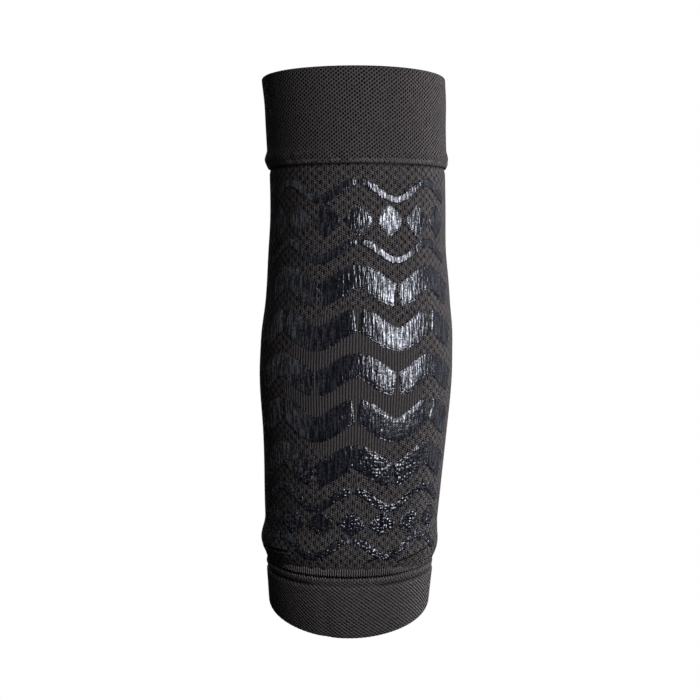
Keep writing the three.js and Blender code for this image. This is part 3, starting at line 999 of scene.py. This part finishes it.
class ELBOW_OT_silicone_grip(bpy.types.Operator):
    """Builds the silicone grip: broad waves, thin wave lines and lozenges"""

    bl_idname = "elbow_support.silicone_grip"
    bl_label = "Silicone grip"

    def execute(self, context):
        sizes = context.scene.elbow_sizes
        colours = context.scene.elbow_colours
        silicone = silicone_material(
            "screen-printed silicone", colours.silicone, colours.painted_sheen_silicone, colours.gleam,
        )
        for name, rows in (("grip_waves", WAVES), ("grip_lines", LINES)):
            pads = dict(pad for row in rows for pad in self.wave(sizes, *row))
            finish_piece(tubes_piece(name, pads.values()), silicone, "silicone", *pads)
        pads = dict(pad for row in LOZENGES for pad in self.lozenges(sizes, *row))
        finish_piece(tubes_piece("grip_lozenges", pads.values()), silicone, "silicone", *pads)
        return {"FINISHED"}

    def wave(self, sizes, name, station, half_height, breaks):
        """The pads of one cosine wave, cut at its breaks."""
        turn = TURN / WAVE_LENGTH
        edges = (-GRIP_REACH - GRIP_CUT / 2, *breaks, GRIP_REACH + GRIP_CUT / 2)
        for i, (low, high) in enumerate(zip(edges[:-1], edges[1:]), 1):
            yield f"{name}_{i}", grip_pad(
                low + GRIP_CUT / 2, high - GRIP_CUT / 2,
                lambda across: station + WAVE_HEIGHT * np.cos(turn * across),
                lambda across: -WAVE_HEIGHT * turn * np.sin(turn * across),
                lambda across: half_height + 0 * across,
                sizes,
            )

    def lozenges(self, sizes, name, station, half_height):
        """A row of lozenges, whose height falls evenly from the middle to both ends."""
        for i in range(LOZENGE_COUNT):
            centre = (i - (LOZENGE_COUNT - 1) / 2) * LOZENGE_PITCH
            reach = LOZENGE_WIDTH / 2
            yield f"{name}_{i + 1}", grip_pad(
                centre - reach, centre + reach,
                lambda across: station + 0 * across,
                lambda across: 0 * across,
                lambda across: half_height - (half_height - LOZENGE_END) * np.abs(across - centre) / reach,
                sizes,
            )


class ELBOW_OT_studio(bpy.types.Operator):
    """Sets the pale floor and backdrop, the soft lights and the camera"""

    bl_idname = "elbow_support.studio"
    bl_label = "Studio"

    def execute(self, context):
        scene = context.scene
        paper = paper_material("matt studio paper", scene.elbow_colours.paper)
        bpy.ops.mesh.primitive_plane_add(size=FLOOR_SIZE, location=(0, 0, CAD_BOX[0].z - FLOOR_DROP))
        floor = context.object
        floor.name = "floor"
        bpy.ops.mesh.primitive_uv_sphere_add(segments=48, ring_count=24, radius=BACKDROP_RADIUS)
        backdrop = context.object
        backdrop.name = "backdrop"
        for item in (floor, backdrop):
            item.data.materials.append(paper)
            item.visible_diffuse = False
            item.visible_glossy = False
            item.visible_transmission = False
            item.visible_shadow = False
        world = bpy.data.worlds.new("dim room")
        scene.world = world
        world.use_nodes = True
        world.node_tree.nodes["Background"].inputs[0].default_value = linear(scene.elbow_colours.room)
        world.node_tree.nodes["Background"].inputs[1].default_value = ROOM_STRENGTH
        for row in SOFTBOXES:
            self.softbox(scene, *row)
        camera = bpy.data.cameras.new("camera")
        camera.lens = CAMERA_SENSOR * CAMERA_DISTANCE / FRAME_WIDTH
        camera.sensor_width = CAMERA_SENSOR
        camera.clip_end = CAMERA_REACH
        eye = bpy.data.objects.new("camera", camera)
        eye.location = (CAMERA_AIM[0], -CAMERA_DISTANCE, CAMERA_AIM[1])
        eye.rotation_euler = (math.pi / 2, 0, 0)
        scene.collection.objects.link(eye)
        scene.camera = eye
        scene.view_settings.view_transform = "Standard"
        return {"FINISHED"}

    def softbox(self, scene, name, direction, size, watts, on_matt, on_gloss):
        """An area light that faces the elbow from an azimuth and an elevation in degrees."""
        light = bpy.data.lights.new(name, "AREA")
        light.shape = "RECTANGLE"
        light.size, light.size_y = size
        light.energy = watts
        light.color = linear(scene.elbow_colours.lamp)[:3]
        lamp = bpy.data.objects.new(name, light)
        azimuth, elevation = (math.radians(a) for a in direction)
        lamp.location = (
            LIGHT_DISTANCE * math.sin(azimuth) * math.cos(elevation),
            -LIGHT_DISTANCE * math.cos(azimuth) * math.cos(elevation),
            LIGHT_DISTANCE * math.sin(elevation),
        )
        lamp.rotation_euler = (math.pi / 2 - elevation, 0, azimuth)
        lamp.visible_diffuse = on_matt
        lamp.visible_glossy = on_gloss
        scene.collection.objects.link(lamp)


class ELBOW_PT_panel(bpy.types.Panel):
    """Lists the sizes, the colours and the steps"""

    bl_idname = "ELBOW_PT_panel"
    bl_label = "Elbow support"
    bl_space_type = "VIEW_3D"
    bl_region_type = "UI"
    bl_category = "Elbow support"

    def draw(self, context):
        for group in (context.scene.elbow_sizes, context.scene.elbow_colours):
            for key in group.__annotations__:
                self.layout.prop(group, key)
        for operator in OPERATORS:
            self.layout.operator(operator.bl_idname)


OPERATORS = (
    ELBOW_OT_knit_tube,
    ELBOW_OT_upper_cuff,
    ELBOW_OT_lower_cuff,
    ELBOW_OT_sewing,
    ELBOW_OT_silicone_grip,
    ELBOW_OT_studio,
)
CLASSES = (ElbowSupportSizes, ElbowSupportColours, *OPERATORS, ELBOW_PT_panel)


def register():
    for cls in CLASSES:
        bpy.utils.register_class(cls)
    bpy.types.Scene.elbow_sizes = PointerProperty(type=ElbowSupportSizes)
    bpy.types.Scene.elbow_colours = PointerProperty(type=ElbowSupportColours)


def unregister():
    del bpy.types.Scene.elbow_colours
    del bpy.types.Scene.elbow_sizes
    for cls in reversed(CLASSES):
        bpy.utils.unregister_class(cls)


def main():
    register()
    bpy.ops.elbow_support.knit_tube()
    bpy.ops.elbow_support.upper_cuff()
    bpy.ops.elbow_support.lower_cuff()
    bpy.ops.elbow_support.sewing()
    bpy.ops.elbow_support.silicone_grip()
    bpy.ops.elbow_support.studio()


if __name__ == "__main__":
    main()
